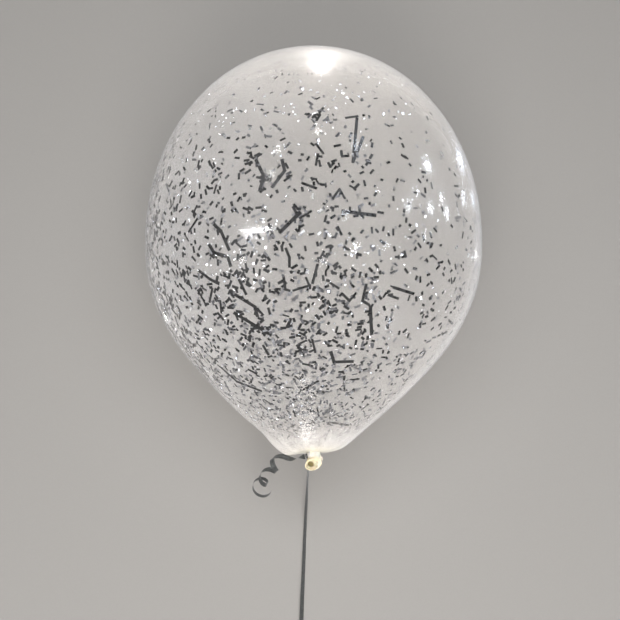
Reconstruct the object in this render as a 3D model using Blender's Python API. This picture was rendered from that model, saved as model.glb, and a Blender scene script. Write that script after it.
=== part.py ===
"""Clear latex party balloon with its curling ribbon, lying on its side.

Metres, +Z up. The crown points along +Y and the neck along -Y, a little lower than the crown.
The balloon rests on a small flat spot at z = 0, and the origin is at the middle of its base.
The balloon is shaped on its own axis first: +Z to the crown, +Y to the side that ends up below.
"""

import math

import bmesh
import bpy
from mathutils import Matrix, Vector

# Blown envelope, measured along its own axis from the widest ring
RADIUS = 0.1525
CROWN_LENGTH = 0.1785
CROWN_FULLNESS = 2.04
NECK_SIDE_LENGTH = 0.1920
TAPER_RUN_ON = 0.0265
TAPER_START = 2.33
TAPER_STRAIGHTNESS = 1.43
END_BLUNTNESS = 110.0
SEGMENTS = 60
CROWN_RINGS = 16
TAPER_RINGS = 24

# Gathers of the latex where it runs in to the neck
PLEATS = 10
PLEAT_HEIGHT = 0.0011
PLEAT_REACH = 0.045

# Neck, knot and rolled lip, all of the same latex
NECK_RADIUS = 0.0042
NECK_SEAT = 0.0030
KNOT_HALF_WIDTH = 0.0078
KNOT_HALF_THICKNESS = 0.0054
KNOT_HEIGHT = 0.0068
KNOT_RINGS = 6
LIP_RADIUS = 0.0050
LIP_ROLL = 0.0012
LIP_HEIGHT = 0.0044
LIP_SIDESTEP = 0.0026
LIP_FLATNESS = 0.86
LIP_RINGS = 5
MOUTH_DEPTH = 0.0026

# How it lies
TILT = math.radians(12.0)
REST_SAG = 0.0025

# Curling ribbon: its turn and knot at the neck
RIBBON_WIDTH = 0.0048
TIE_BAND_THICKNESS = 0.0018
TIE_BRIDGE_WIDTH = 0.0036
TIE_KNOT_WIDTH = 0.0070
TIE_KNOT_THICKNESS = 0.0056
TIE_KNOT_HEIGHT = 0.0056
TIE_KNOT_SIDESTEP = 0.0040

# Long end of the ribbon, from under the knot down to the floor and along it
TAIL_ROUTE = (
    (-0.0040, -0.1756, 0.0985),
    (-0.0042, -0.1737, 0.0880),
    (-0.0045, -0.1728, 0.0720),
    (-0.0049, -0.1734, 0.0540),
    (-0.0054, -0.1762, 0.0360),
    (-0.0060, -0.1818, 0.0200),
    (-0.0067, -0.1920, 0.0085),
    (-0.0074, -0.2070, 0.0036),
    (-0.0082, -0.2250, 0.0027),
    (-0.0089, -0.2450, 0.0027),
    (-0.0097, -0.2650, 0.0027),
    (-0.0105, -0.2850, 0.0027),
    (-0.0112, -0.3070, 0.0027),
)
TAIL_SPACING = 0.0100

# Short end of the ribbon, curled: the middle of the curl, and how wide it is there
CURL_ROUTE = (
    (-0.0078, -0.1760, 0.1015),
    (-0.0140, -0.1765, 0.1018),
    (-0.0210, -0.1790, 0.1030),
    (-0.0275, -0.1805, 0.1030),
    (-0.0340, -0.1840, 0.1010),
    (-0.0400, -0.1885, 0.0960),
    (-0.0440, -0.1925, 0.0895),
    (-0.0465, -0.1955, 0.0820),
    (-0.0480, -0.1975, 0.0740),
)
CURL_WIDTH = 0.0200
CURL_START_WIDTH = 0.0050
CURL_WIDENS_OVER = 0.0300
CURL_SPACING = 0.0040

# Loop tied in the far end of the ribbon
END_KNOT_LENGTH = 0.0090
END_KNOT_WIDTH = 0.0080
END_KNOT_HEIGHT = 0.0052
END_LOOP_LENGTH = 0.0340
END_LOOP_WIDTH = 0.0200
END_LOOP_POINTS = 32

# Clearance between pieces that touch, and what the ribbon keeps to the floor
GAP = 0.0003


def clear_scene():
    for item in list(bpy.data.objects):
        bpy.data.objects.remove(item, do_unlink=True)


def principled(name, color, roughness, alpha=1.0):
    mat = bpy.data.materials.new(name)
    mat.use_nodes = True
    shader = mat.node_tree.nodes["Principled BSDF"]
    shader.inputs["Base Color"].default_value = (*color, 1.0)
    shader.inputs["Roughness"].default_value = roughness
    shader.inputs["Metallic"].default_value = 0.0
    shader.inputs["Alpha"].default_value = alpha
    return mat


def add_mesh(name, bm, mat=None):
    """A new object from a closed mesh, smooth but for its sharp edges."""
    bmesh.ops.recalc_face_normals(bm, faces=bm.faces)
    mesh = bpy.data.meshes.new(name)
    bm.to_mesh(mesh)
    bm.free()
    if mat:
        mesh.materials.append(mat)
    mesh.shade_smooth()
    mesh.set_sharp_from_angle(angle=math.radians(40.0))
    item = bpy.data.objects.new(name, mesh)
    bpy.context.collection.objects.link(item)
    return item


def fuse(base, helper):
    """Joins a helper solid to the base for good and keeps the helper out of sight."""
    union = base.modifiers.new("with " + helper.name, "BOOLEAN")
    union.operation = "UNION"
    union.solver = "EXACT"
    union.object = helper
    helper.hide_render = True
    helper.display_type = "WIRE"


def evenly_along(points, count):
    """That many points spaced evenly along the line through the given ones."""
    lengths = [0.0]
    for a, b in zip(points, points[1:]):
        lengths.append(lengths[-1] + (b - a).length)
    spaced = []
    at = 0
    for i in range(count):
        goal = lengths[-1] * i / (count - 1)
        while at < len(points) - 2 and lengths[at + 1] < goal:
            at += 1
        span = lengths[at + 1] - lengths[at]
        share = (goal - lengths[at]) / span if span > 0.0 else 0.0
        spaced.append(points[at].lerp(points[at + 1], min(1.0, share)))
    return spaced


def crown_outline():
    """(radius, height) from just beside the crown down to just above the widest ring."""
    outline = []
    for i in range(1, CROWN_RINGS):
        turn = 0.5 * math.pi * (1.0 - i / CROWN_RINGS)
        height = CROWN_LENGTH * math.sin(turn) ** (2.0 / CROWN_FULLNESS)
        radius = RADIUS * math.cos(turn) ** (2.0 / CROWN_FULLNESS)
        outline.append(Vector((radius, height)))
    return outline


def taper_radius(depth):
    """Radius at a depth below the widest ring: long straight sides, then a blunt end."""
    closes_at = NECK_SIDE_LENGTH + TAPER_RUN_ON
    side = (1.0 - (depth / closes_at) ** TAPER_START) ** TAPER_STRAIGHTNESS
    end = math.sqrt(1.0 - (depth / NECK_SIDE_LENGTH) ** END_BLUNTNESS)
    return RADIUS * side * end


def taper_outline():
    """(radius, height) from the widest ring down to where the blunt end meets the neck."""
    outline = []
    steps = 4000
    for i in range(steps):
        depth = NECK_SIDE_LENGTH * i / steps
        outline.append(Vector((taper_radius(depth), -depth)))
    outline = [p for p in outline if p.x > NECK_RADIUS]
    outline.append(Vector((NECK_RADIUS, -NECK_SIDE_LENGTH)))
    return evenly_along(outline, TAPER_RINGS)


def envelope_rings():
    """(half width, half thickness, height, sideways step) of each ring of the blown part."""
    return [(p.x, p.x, p.y, 0.0) for p in crown_outline() + taper_outline()]


def knot_rings():
    """The same for the neck, the knot and the rolled lip with its shallow mouth."""
    seat_end = -NECK_SIDE_LENGTH - NECK_SEAT
    rings = [(NECK_RADIUS, NECK_RADIUS, seat_end, 0.0)]
    for i in range(KNOT_RINGS):
        share = (i + 0.5) / KNOT_RINGS
        bulge = math.sin(math.pi * share) ** 0.6
        half_width = NECK_RADIUS + (KNOT_HALF_WIDTH - NECK_RADIUS) * bulge
        half_thickness = NECK_RADIUS + (KNOT_HALF_THICKNESS - NECK_RADIUS) * bulge
        rings.append((half_width, half_thickness, seat_end - KNOT_HEIGHT * share, -LIP_SIDESTEP * share))
    lip_end = seat_end - KNOT_HEIGHT - LIP_HEIGHT
    for i in range(LIP_RINGS):
        turn = math.radians(55.0 - 130.0 * i / (LIP_RINGS - 1))
        radius = LIP_RADIUS - LIP_ROLL + LIP_ROLL * math.cos(turn)
        height = lip_end + LIP_ROLL + LIP_ROLL * math.sin(turn)
        rings.append((radius, radius * LIP_FLATNESS, height, -LIP_SIDESTEP))
    mouth = LIP_RADIUS - 2.0 * LIP_ROLL
    for radius, depth in ((mouth, LIP_ROLL), (0.6 * mouth, MOUTH_DEPTH)):
        rings.append((radius, radius * LIP_FLATNESS, lip_end + depth, -LIP_SIDESTEP))
    return rings


def pleat(radius, height, angle):
    """How far a gather of the latex stands out at a place near the neck."""
    if height > 0.0 or radius > PLEAT_REACH:
        return 0.0
    share = (radius - NECK_RADIUS) / (PLEAT_REACH - NECK_RADIUS)
    return PLEAT_HEIGHT * math.sin(math.pi * max(0.0, share)) * math.cos(PLEATS * angle)


def add_ring(bm, half_width, half_thickness, height, step, pleated):
    ring = []
    for i in range(SEGMENTS):
        angle = 2.0 * math.pi * i / SEGMENTS
        out = pleat(half_width, height, angle) if pleated else 0.0
        x = (half_width + out) * math.cos(angle) + step
        y = (half_thickness + out) * math.sin(angle)
        ring.append(bm.verts.new((x, y, height)))
    return ring


def balloon_mesh():
    """The whole balloon on its own axis, one closed skin from the crown to the mouth."""
    bm = bmesh.new()
    rings = [add_ring(bm, *ring, True) for ring in envelope_rings()]
    rings += [add_ring(bm, *ring, False) for ring in knot_rings()]
    crown = bm.verts.new((0.0, 0.0, CROWN_LENGTH))
    mouth = bm.verts.new(sum((v.co for v in rings[-1]), Vector()) / SEGMENTS)
    for i in range(SEGMENTS):
        j = (i + 1) % SEGMENTS
        bm.faces.new((crown, rings[0][i], rings[0][j]))
        bm.faces.new((mouth, rings[-1][j], rings[-1][i]))
        for upper, lower in zip(rings, rings[1:]):
            bm.faces.new((upper[i], lower[i], lower[j], upper[j]))
    return bm


def lying_turn():
    """Turns the balloon's own axis down on to its side, crown along +Y and a little raised."""
    return Matrix.Rotation(TILT - 0.5 * math.pi, 4, "X")


def rest_height():
    """How high the middle of the widest ring lies, with the flat spot pressed in."""
    reach = max(ring[0] * math.cos(TILT) - ring[2] * math.sin(TILT) for ring in envelope_rings())
    return reach - REST_SAG


def cut_flat_spot(bm):
    down = lying_turn().inverted() @ Vector((0.0, 0.0, -1.0))
    cut = bmesh.ops.bisect_plane(
        bm,
        geom=[*bm.verts, *bm.edges, *bm.faces],
        dist=1e-6,
        plane_co=down * rest_height(),
        plane_no=down,
        clear_outer=True,
    )
    rim = [part for part in cut["geom_cut"] if isinstance(part, bmesh.types.BMEdge)]
    bmesh.ops.contextual_create(bm, geom=rim)


def make_balloon():
    """Adds the balloon and gives back the matrix that lays its own axes down over the origin."""
    bm = balloon_mesh()
    ys = [(lying_turn() @ v.co).y for v in bm.verts]
    place = Vector((0.0, -0.5 * (min(ys) + max(ys)), rest_height()))
    cut_flat_spot(bm)
    latex = principled("clear_latex", (0.83, 0.82, 0.80), 0.12, alpha=0.35)
    balloon = add_mesh("balloon", bm, latex)
    balloon.matrix_world = Matrix.Translation(place) @ lying_turn()
    return balloon.matrix_world.copy()


def add_block(name, size, middle, matrix, bevel=0.0):
    """A box on the balloon's own axes, with its edges rounded if bevel says so."""
    bm = bmesh.new()
    bmesh.ops.create_cube(bm, size=1.0, matrix=Matrix.Diagonal((*size, 1.0)))
    if bevel > 0.0:
        bmesh.ops.bevel(bm, geom=list(bm.edges), offset=bevel, segments=2, profile=0.5, affect="EDGES")
    block = add_mesh(name, bm)
    block.matrix_world = matrix @ Matrix.Translation(middle)
    return block


def tie_knot_middle():
    """Middle of the ribbon's knot on the balloon's own axes, clear of the latex knot beside it."""
    below = KNOT_HALF_THICKNESS + GAP + 0.5 * TIE_KNOT_THICKNESS
    along = -(NECK_SIDE_LENGTH + GAP + 0.5 * TIE_KNOT_HEIGHT)
    return Vector((-TIE_KNOT_SIDESTEP, below, along))


def add_band(matrix, mat):
    """The ribbon's turn round the neck: a flattened ring that fills the seat but for its clearance."""
    bm = bmesh.new()
    around, across = 28, 8
    half_height = 0.5 * NECK_SEAT - GAP
    half_thickness = 0.5 * TIE_BAND_THICKNESS
    middle = NECK_RADIUS + GAP + half_thickness
    rings = []
    for i in range(around):
        turn = 2.0 * math.pi * i / around
        ring = []
        for k in range(across):
            side = 2.0 * math.pi * k / across
            radius = middle + half_thickness * math.cos(side)
            height = -(NECK_SIDE_LENGTH + 0.5 * NECK_SEAT) + half_height * math.sin(side)
            ring.append(bm.verts.new((radius * math.cos(turn), radius * math.sin(turn), height)))
        rings.append(ring)
    for ring, following in zip(rings, rings[1:] + rings[:1]):
        for k in range(across):
            m = (k + 1) % across
            bm.faces.new((ring[k], following[k], following[m], ring[m]))
    band = add_mesh("ribbon_tie", bm, mat)
    band.matrix_world = matrix
    return band


def make_tie(matrix, mat):
    """The ribbon's turn round the neck, with its knot on the side that lies below."""
    band = add_band(matrix, mat)
    knot_middle = tie_knot_middle()
    band_middle = NECK_RADIUS + GAP + 0.5 * TIE_BAND_THICKNESS
    bridge_size = (TIE_BRIDGE_WIDTH, knot_middle.y - band_middle, NECK_SEAT - 4.0 * GAP)
    bridge_middle = Vector((
        -0.5 * TIE_BRIDGE_WIDTH,
        0.5 * (knot_middle.y + band_middle),
        -(NECK_SIDE_LENGTH + 0.5 * NECK_SEAT),
    ))
    fuse(band, add_block("tie_bridge_block", bridge_size, bridge_middle, matrix))
    knot_size = (TIE_KNOT_WIDTH, TIE_KNOT_THICKNESS, TIE_KNOT_HEIGHT)
    fuse(band, add_block("tie_knot_block", knot_size, knot_middle, matrix, bevel=0.0012))


def smooth_line(route, spacing):
    """Points about one spacing apart on a smooth curve through the route's own points."""
    route = [Vector(p) for p in route]
    ends = (2.0 * route[0] - route[1], 2.0 * route[-1] - route[-2])
    padded = [ends[0], *route, ends[1]]
    steps = 40
    fine = []
    for a, b, c, d in zip(padded, padded[1:], padded[2:], padded[3:]):
        for i in range(steps):
            t = i / steps
            bend = (2.0 * a - 5.0 * b + 4.0 * c - d) * t * t + (3.0 * b - a - 3.0 * c + d) * t ** 3
            fine.append(0.5 * (2.0 * b + (c - a) * t + bend))
    fine.append(route[-1])
    length = sum((b - a).length for a, b in zip(fine, fine[1:]))
    return evenly_along(fine, max(2, round(length / spacing)) + 1)


def add_tube(name, points, radii, resolution, mat):
    """A round capped tube through the points, with its own radius at each."""
    curve = bpy.data.curves.new(name, "CURVE")
    curve.dimensions = "3D"
    curve.bevel_depth = 1.0
    curve.bevel_resolution = resolution
    curve.use_fill_caps = True
    spline = curve.splines.new("POLY")
    spline.points.add(len(points) - 1)
    for point, place, radius in zip(spline.points, points, radii):
        point.co = (*place, 1.0)
        point.radius = radius
    spline.use_smooth = True
    curve.materials.append(mat)
    item = bpy.data.objects.new(name, curve)
    bpy.context.collection.objects.link(item)
    return item


def make_tail(mat):
    points = smooth_line(TAIL_ROUTE, TAIL_SPACING)
    add_tube("ribbon_tail", points, [0.5 * RIBBON_WIDTH] * len(points), 2, mat)


def make_curl(mat):
    """The curled short end as one fat tube of the curl's outer width, slim where it leaves the knot."""
    points = smooth_line(CURL_ROUTE, CURL_SPACING)
    radii = []
    run = 0.0
    for i, point in enumerate(points):
        run += (point - points[i - 1]).length if i else 0.0
        share = min(1.0, run / CURL_WIDENS_OVER)
        eased = share * share * (3.0 - 2.0 * share)
        radii.append(0.5 * (CURL_START_WIDTH + (CURL_WIDTH - CURL_START_WIDTH) * eased))
    add_tube("ribbon_curl", points, radii, 3, mat)


def loop_point(turn):
    """A place on the teardrop of the end loop: 0 is at the knot, and half a turn is its far end."""
    along = 0.5 * END_LOOP_LENGTH * (1.0 - math.cos(turn))
    across = 0.5 * END_LOOP_WIDTH * math.sin(turn) * math.sin(0.5 * turn) * 1.3
    return Vector((across, -along, 0.0))


def make_end_loop(mat):
    """The loop and knot at the far end of the ribbon, lying on the floor past the end of the tail."""
    tail_end = Vector(TAIL_ROUTE[-1])
    knot_middle = tail_end + Vector((0.0, -(GAP + 0.5 * END_KNOT_LENGTH), 0.0))
    knot_middle.z = GAP + 0.5 * END_KNOT_HEIGHT
    radius = 0.5 * RIBBON_WIDTH
    bm = bmesh.new()
    around = 8
    rings = []
    for i in range(END_LOOP_POINTS):
        turn = 2.0 * math.pi * i / END_LOOP_POINTS
        ahead = (loop_point(turn + 0.01) - loop_point(turn - 0.01)).normalized()
        aside = Vector((-ahead.y, ahead.x, 0.0))
        middle = loop_point(turn)
        ring = []
        for k in range(around):
            side = 2.0 * math.pi * k / around
            offset = aside * (radius * math.cos(side)) + Vector((0.0, 0.0, radius * math.sin(side)))
            ring.append(bm.verts.new(middle + offset))
        rings.append(ring)
    for ring, following in zip(rings, rings[1:] + rings[:1]):
        for k in range(around):
            m = (k + 1) % around
            bm.faces.new((ring[k], following[k], following[m], ring[m]))
    loop = add_mesh("ribbon_end_loop", bm, mat)
    loop.location = (knot_middle.x, knot_middle.y, GAP + radius)
    lump = bmesh.new()
    bmesh.ops.create_uvsphere(lump, u_segments=12, v_segments=8, radius=0.5)
    stretch = Matrix.Diagonal((END_KNOT_WIDTH, END_KNOT_LENGTH, END_KNOT_HEIGHT, 1.0))
    bmesh.ops.transform(lump, matrix=stretch, verts=lump.verts)
    knot = add_mesh("end_knot_lump", lump)
    knot.location = knot_middle
    fuse(loop, knot)


def main():
    clear_scene()
    matrix = make_balloon()
    ribbon = principled("satin_ribbon", (0.09, 0.10, 0.10), 0.35)
    make_tie(matrix, ribbon)
    make_tail(ribbon)
    make_curl(ribbon)
    make_end_loop(ribbon)


main()
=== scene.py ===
import math
import random

import bpy
from mathutils import Matrix, Vector, noise


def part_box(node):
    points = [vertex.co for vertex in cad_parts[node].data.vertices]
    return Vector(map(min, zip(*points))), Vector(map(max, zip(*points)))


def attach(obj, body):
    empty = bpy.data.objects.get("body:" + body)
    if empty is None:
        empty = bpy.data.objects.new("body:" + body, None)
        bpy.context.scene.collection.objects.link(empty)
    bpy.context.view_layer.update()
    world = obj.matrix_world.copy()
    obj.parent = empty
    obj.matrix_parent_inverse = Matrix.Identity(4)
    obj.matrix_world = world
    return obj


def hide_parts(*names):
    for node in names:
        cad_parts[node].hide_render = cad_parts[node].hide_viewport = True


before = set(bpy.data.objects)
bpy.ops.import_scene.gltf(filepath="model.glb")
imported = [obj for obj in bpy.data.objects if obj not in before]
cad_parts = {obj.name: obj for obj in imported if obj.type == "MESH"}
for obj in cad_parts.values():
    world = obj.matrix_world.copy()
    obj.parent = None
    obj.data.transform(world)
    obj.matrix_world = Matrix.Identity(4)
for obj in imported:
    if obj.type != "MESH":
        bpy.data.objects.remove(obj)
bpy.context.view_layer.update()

# Camera. It looks down on the lying balloon from its neck end, as steeply as the photograph
# looks at the hanging one, and puts it where the photograph's frame of 620 pixels has it.
balloon_low, balloon_high = (Vector(corner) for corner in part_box("balloon"))
balloon_middle = (balloon_low + balloon_high) / 2
CAMERA_ELEVATION = math.radians(68.0)
CAMERA_DISTANCE = 1.9
PICTURE_PIXELS = 620
PIXEL = 0.000905                    # real size of one pixel at the balloon's middle
BALLOON_PIXEL = Vector((313.5, 253.5))
SENSOR_WIDTH = 36.0
look = Vector((0.0, math.cos(CAMERA_ELEVATION), -math.sin(CAMERA_ELEVATION)))
picture_up = Vector((0.0, math.sin(CAMERA_ELEVATION), math.cos(CAMERA_ELEVATION)))
picture_right = Vector((1.0, 0.0, 0.0))
off_middle = (BALLOON_PIXEL - Vector((PICTURE_PIXELS, PICTURE_PIXELS)) / 2) * PIXEL
camera_data = bpy.data.cameras.new("camera")
camera_data.sensor_width = SENSOR_WIDTH
camera_data.lens = SENSOR_WIDTH * CAMERA_DISTANCE / (PICTURE_PIXELS * PIXEL)
camera = bpy.data.objects.new("camera", camera_data)
bpy.context.collection.objects.link(camera)
camera.location = balloon_middle - look * CAMERA_DISTANCE
camera.location += picture_up * off_middle.y - picture_right * off_middle.x
camera.rotation_euler = look.to_track_quat("-Z", "Y").to_euler()
bpy.context.scene.camera = camera
bpy.context.scene.view_settings.view_transform = "Standard"

# Latex film. One skin of clear natural rubber, dipped on a former and blown up with gas, so it
# is thin and clear at its widest and thick, milky and gathered where it runs in to the neck.
# It is built on the balloon's own axis: +Z to the crown, +Y to the side that lies on the floor.
TILT = math.radians(12.0)
RADIUS = 0.5 * (balloon_high.x - balloon_low.x)
CROWN_LENGTH = 0.1785
CROWN_FULLNESS = 2.04
NECK_SIDE_LENGTH = 0.1920
TAPER_RUN_ON = 0.0265
TAPER_START = 2.33
TAPER_STRAIGHTNESS = 1.43
END_BLUNTNESS = 110.0
NECK_RADIUS = 0.0042
NECK_RUN_INTO_KNOT = 0.0030
FILM_SEGMENTS = 180
FILM_CROWN_RINGS = 52
FILM_TAPER_RINGS = 96
PLEATS = 10
PLEAT_HEIGHT = 0.0004
PLEAT_REACH = 0.045
FINE_PLEATS = 37
FINE_PLEAT_HEIGHT = 0.00010
SHOULDER_DROP = 0.0058               # how much fuller the film is beside the knot on its left side
SHOULDER_WIDTH = math.radians(50.0)
SHOULDER_STARTS = (0.008, 0.026)     # the film's radii between which that sets in
SHOULDER_EASES = (0.036, 0.047)      # between which it drops by the share that follows
SHOULDER_EASE = 0.52
SHOULDER_ENDS = (0.062, 0.110)       # and between which it ends
TOUCH_ROUNDING = 0.0006
TOUCH_HEIGHT = 0.02                  # world height below which the film is eased off the floor
FLOOR_CLEARANCE = 0.00005


def film_radius(height):
    """Radius of the blown film at a height above the widest ring, or below it where negative."""
    if height >= 0.0:
        share = min(1.0, height / CROWN_LENGTH)
        return RADIUS * (1.0 - share ** CROWN_FULLNESS) ** (1.0 / CROWN_FULLNESS)
    depth = min(-height, NECK_SIDE_LENGTH)
    side = 1.0 - (depth / (NECK_SIDE_LENGTH + TAPER_RUN_ON)) ** TAPER_START
    end = 1.0 - (depth / NECK_SIDE_LENGTH) ** END_BLUNTNESS
    return RADIUS * side ** TAPER_STRAIGHTNESS * math.sqrt(max(0.0, end))


def runs_along(points):
    """How far along the line through them each of the points lies."""
    runs = [0.0]
    for a, b in zip(points, points[1:]):
        runs.append(runs[-1] + (b - a).length)
    return runs


def evenly_along(points, count):
    """That many points spaced evenly along the line through the given ones."""
    runs = runs_along(points)
    spaced = []
    at = 0
    for i in range(count):
        goal = runs[-1] * i / (count - 1)
        while at < len(points) - 2 and runs[at + 1] < goal:
            at += 1
        span = runs[at + 1] - runs[at]
        share = (goal - runs[at]) / span if span > 0.0 else 0.0
        spaced.append(points[at].lerp(points[at + 1], min(1.0, share)))
    return spaced


def film_outline():
    """(radius, height) of each ring of the film, from beside the crown to inside the knot."""
    crown = []
    for i in range(1, FILM_CROWN_RINGS + 1):
        height = CROWN_LENGTH * math.cos(0.5 * math.pi * i / FILM_CROWN_RINGS)
        crown.append(Vector((film_radius(height), height)))
    steps = 6000
    heights = [-NECK_SIDE_LENGTH * i / steps for i in range(steps)]
    taper = [Vector((film_radius(height), height)) for height in heights]
    taper = [p for p in taper if p.x > NECK_RADIUS] + [Vector((NECK_RADIUS, -NECK_SIDE_LENGTH))]
    inside_knot = Vector((NECK_RADIUS, -NECK_SIDE_LENGTH - NECK_RUN_INTO_KNOT))
    return crown + evenly_along(taper, FILM_TAPER_RINGS)[1:] + [inside_knot]


def gathers(radius, height, angle):
    """How far the film stands out where it is gathered in towards the neck."""
    if height > 0.0 or radius > PLEAT_REACH:
        return 0.0
    share = max(0.0, (radius - NECK_RADIUS) / (PLEAT_REACH - NECK_RADIUS))
    swell = math.sin(math.pi * share)
    wander = 0.5 * noise.noise(Vector((3.0 * math.cos(angle), 3.0 * math.sin(angle), 9.0)))
    broad = PLEAT_HEIGHT * math.cos(PLEATS * angle + wander)
    fine = FINE_PLEAT_HEIGHT * math.cos(FINE_PLEATS * angle + 3.0 * wander)
    return swell * (broad + fine * (1.0 - share))


def eased(value, low, high):
    """0 below low, 1 above high, and smooth between."""
    share = min(1.0, max(0.0, (value - low) / (high - low)))
    return share * share * (3.0 - 2.0 * share)


def shoulder(radius, height, angle):
    """How far the film sags past its even outline, on the left of the knot."""
    if height > 0.0:
        return 0.0
    aside = (angle - math.pi) / SHOULDER_WIDTH
    near_end = eased(radius, *SHOULDER_STARTS) * (1.0 - SHOULDER_EASE * eased(radius, *SHOULDER_EASES))
    return SHOULDER_DROP * math.exp(-aside * aside) * near_end * (1.0 - eased(radius, *SHOULDER_ENDS))


def off_floor(p, clearance):
    """The point, on the balloon's own axes, eased up so that it stays that far above the floor."""
    laid = lying @ p
    if laid.z < TOUCH_HEIGHT:
        over = laid.z - clearance
        laid.z = clearance + 0.5 * (over + math.sqrt(over * over + TOUCH_ROUNDING ** 2))
        p = standing @ laid
    return p


def add_object(name, verts, faces, matrix=Matrix.Identity(4), smooth=True):
    """A new mesh object from points on own axes, which the matrix lays on the floor's axes."""
    mesh = bpy.data.meshes.new(name)
    mesh.from_pydata([tuple(v) for v in verts], [], faces)
    mesh.transform(matrix)
    mesh.update()
    if smooth:
        mesh.shade_smooth()
    item = bpy.data.objects.new(name, mesh)
    bpy.context.collection.objects.link(item)
    return item


film_points = []
outline = film_outline()
for ring in outline:
    for i in range(FILM_SEGMENTS):
        angle = math.tau * i / FILM_SEGMENTS
        out = ring.x + gathers(ring.x, ring.y, angle)
        height = ring.y - shoulder(ring.x, ring.y, angle)
        film_points.append(Vector((out * math.cos(angle), out * math.sin(angle), height)))
crown_point = len(film_points)
film_points.append(Vector((0.0, 0.0, CROWN_LENGTH)))
film_points.append(Vector((0.0, 0.0, outline[-1].y)))
film_faces = []
for i in range(FILM_SEGMENTS):
    j = (i + 1) % FILM_SEGMENTS
    film_faces.append((crown_point, i, j))
    last = (len(outline) - 1) * FILM_SEGMENTS
    film_faces.append((crown_point + 1, last + j, last + i))
    for k in range(len(outline) - 1):
        upper, lower = k * FILM_SEGMENTS, (k + 1) * FILM_SEGMENTS
        film_faces.append((upper + i, lower + i, lower + j, upper + j))

turn = Matrix.Rotation(TILT - 0.5 * math.pi, 4, "X")
turned = [turn @ p for p in film_points]
place = Vector((0.0, balloon_high.y - max(p.y for p in turned), balloon_high.z - max(p.z for p in turned)))
lying = Matrix.Translation(place) @ turn
standing = lying.inverted()
film_points = [off_floor(p, FLOOR_CLEARANCE) for p in film_points]
film = add_object("latex_film", film_points, film_faces, lying)


def feed(tree, sockets, values):
    """Gives each socket its value: a number, a vector, a colour, or a link from another node's output."""
    for socket, value in zip(sockets, values):
        if isinstance(value, bpy.types.NodeSocket):
            tree.links.new(value, socket)
        elif socket.type == "RGBA":
            socket.default_value = (*value, 1.0)
        else:
            socket.default_value = value


def give(tree, made, **values):
    """Gives a node its values by name: those of its inputs, and else its own settings; gives the node."""
    for name, value in values.items():
        socket = made.inputs.get(name.replace("_", " "))
        if socket is None:
            setattr(made, name, value)
        else:
            feed(tree, (socket,), (value,))
    return made


def node(tree, kind, **values):
    """A new shader node with its values."""
    return give(tree, tree.nodes.new("ShaderNode" + kind), **values)


def math_node(tree, operation, *values):
    """A Math node on sockets or numbers, with one more for each value past the second; gives the output."""
    made = node(tree, "Math", operation=operation)
    feed(tree, made.inputs, values[:2])
    if len(values) > 2:
        return math_node(tree, operation, made.outputs[0], *values[2:])
    return made.outputs[0]


def vector_math(tree, operation, *values):
    """A Vector Math node on sockets or vectors; gives its output."""
    made = node(tree, "VectorMath", operation=operation)
    feed(tree, made.inputs, values)
    return made.outputs["Value" if operation == "DISTANCE" else "Vector"]


def spread(tree, value, low, high, to_low, to_high):
    """A Map Range node with smooth steps on a socket; gives its output."""
    made = node(tree, "MapRange", interpolation_type="SMOOTHSTEP")
    feed(tree, made.inputs, (value, low, high, to_low, to_high))
    return made.outputs[0]


def mixed(tree, share, first, second, blend="MIX"):
    """A colour mix of two colours or sockets; gives its output."""
    made = node(tree, "Mix", data_type="RGBA", blend_type=blend)
    feed(tree, (made.inputs[0], made.inputs[6], made.inputs[7]), (share, first, second))
    return made.outputs[2]


def mottle(tree, where, scale, detail, roughness=0.5):
    """A noise over the places that a socket gives; gives its level, from 0 to 1."""
    return node(tree, "TexNoise", Vector=where, Scale=scale, Detail=detail, Roughness=roughness).outputs[0]


def new_material(name):
    """A material with a Principled shader; gives the material, its tree and the shader."""
    material = bpy.data.materials.new(name)
    material.use_nodes = True
    tree = material.node_tree
    return material, tree, tree.nodes["Principled BSDF"]


def new_group(name, inputs, outputs):
    """A shader node group with these sockets; gives the group, what comes in and what it puts out."""
    group = bpy.data.node_groups.new(name, "ShaderNodeTree")
    for way, sockets in (("INPUT", inputs), ("OUTPUT", outputs)):
        for label, kind in sockets.items():
            group.interface.new_socket(label, in_out=way, socket_type="NodeSocket" + kind)
    return group, group.nodes.new("NodeGroupInput").outputs, group.nodes.new("NodeGroupOutput").inputs


def place_on_floor_axes(tree):
    """The shaded place as the piece lies; gives the output."""
    return node(tree, "TexCoord").outputs["Object"]


def own_place_in(tree):
    """The shaded place on the balloon's own axes, with +Z from the neck to the crown; gives the output."""
    lean_back = node(tree, "Mapping", vector_type="TEXTURE", Vector=place_on_floor_axes(tree))
    give(tree, lean_back, Location=lying.to_translation(), Rotation=lying.to_euler())
    return lean_back.outputs[0]


def latex_group():
    """Latex as dipped: how cloudy it is, how its gloss varies and how its skin ripples."""
    group, given, result = new_group(
        "dipped_latex",
        {"Cloud Size": "Float", "Cloudiness": "Float", "Gloss": "Float"},
        {"Cloud": "Float", "Roughness": "Float", "Ripple": "Float"},
    )
    where = own_place_in(group)
    scale = math_node(group, "DIVIDE", 1.0, given["Cloud Size"])
    clouds = math_node(group, "SUBTRACT", mottle(group, where, scale, 4.0, 0.55), 0.5)
    smears = mottle(group, where, math_node(group, "MULTIPLY", scale, 2.6), 3.0)
    ripples = mottle(group, where, math_node(group, "MULTIPLY", scale, 7.0), 2.0)
    cloud = math_node(group, "ADD", math_node(group, "MULTIPLY", clouds, given["Cloudiness"]), 1.0)
    least = math_node(group, "MULTIPLY", given["Gloss"], 0.5)
    roughness = math_node(group, "ADD", math_node(group, "MULTIPLY", smears, given["Gloss"]), least)
    feed(group, result, (cloud, roughness, ripples))
    return group


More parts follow.
